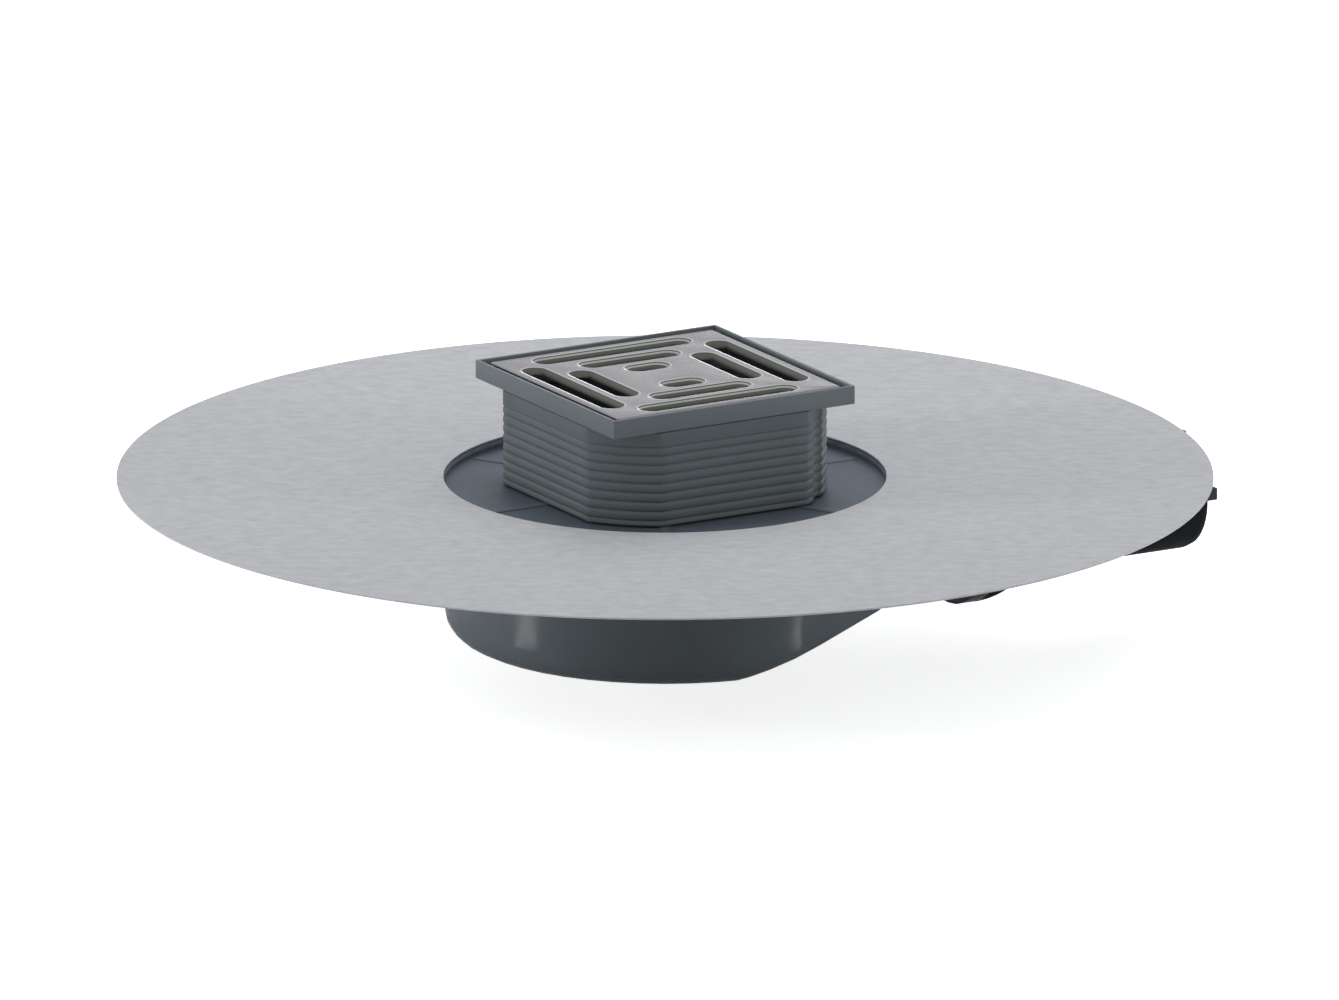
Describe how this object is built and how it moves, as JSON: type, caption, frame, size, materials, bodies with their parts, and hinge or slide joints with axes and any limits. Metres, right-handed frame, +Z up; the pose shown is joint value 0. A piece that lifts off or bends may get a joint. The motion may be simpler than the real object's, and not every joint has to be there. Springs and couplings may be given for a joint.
{
  "type": "floor drain",
  "caption": "Floor drain with a round fleece sealing collar, square slotted steel grate on a ribbed height extension, odour trap and a swivelling side outlet.",
  "frame": {"origin": "on the drain's vertical axis, at the height of the bowl's flat underside", "axes": "+Z up through the grate, +X along the outlet, Y across"},
  "size_m": [0.5062, 0.474, 0.1217],
  "materials": {
    "bowl_plastic": "satin moulded plastic",
    "flange_plastic": "satin moulded plastic",
    "collar_fleece": "matt fleece laminate",
    "extension_plastic": "satin moulded plastic",
    "lip_seal_rubber": "matt rubber",
    "frame_plastic": "satin moulded plastic",
    "grate_steel": "brushed stainless steel",
    "dip_tube_plastic": "satin moulded plastic",
    "trap_cup_plastic": "satin moulded plastic",
    "o_ring_rubber": "matt rubber",
    "ball_seal_rubber": "matt rubber",
    "support_ring_plastic": "plain moulded plastic",
    "nut_plastic": "satin moulded plastic",
    "spigot_plastic": "satin moulded plastic",
    "plug_plastic": "satin moulded plastic"
  },
  "bodies": {
    "housing": {"drain_bowl": "bowl_plastic", "drain_flange": "flange_plastic", "sealing_collar": "collar_fleece", "ball_seal": "ball_seal_rubber", "ball_retaining_nut": "nut_plastic"},
    "turning_seal": {"extension_lip_seal": "lip_seal_rubber"},
    "extension": {"extension_piece": "extension_plastic", "frame": "frame_plastic", "grate": "grate_steel", "trap_dip_tube": "dip_tube_plastic", "trap_cup": "trap_cup_plastic", "trap_o_ring": "o_ring_rubber"},
    "swivel_ring": {"ball_support_ring": "support_ring_plastic"},
    "outlet": {"outlet_spigot": "spigot_plastic", "outlet_plug": "plug_plastic"}
  },
  "joints": [
    {"name": "extension_turn", "type": "hinge", "parent": "housing", "child": "turning_seal", "pos_m": [0, 0, 0.0587], "axis": [0, 0, 1], "continuous": true},
    {"name": "extension_lift", "type": "slide", "parent": "turning_seal", "child": "extension", "axis": [0, 0, 1], "range_m": [0, 0.018]},
    {"name": "outlet_swing", "type": "hinge", "parent": "housing", "child": "swivel_ring", "pos_m": [0.149, 0, 0.0294], "axis": [0, 0, 1], "range_deg": [-15, 15]},
    {"name": "outlet_tilt", "type": "hinge", "parent": "swivel_ring", "child": "outlet", "pos_m": [0.149, 0, 0.0294], "axis": [0, 1, 0], "range_deg": [-9, 15]}
  ]
}
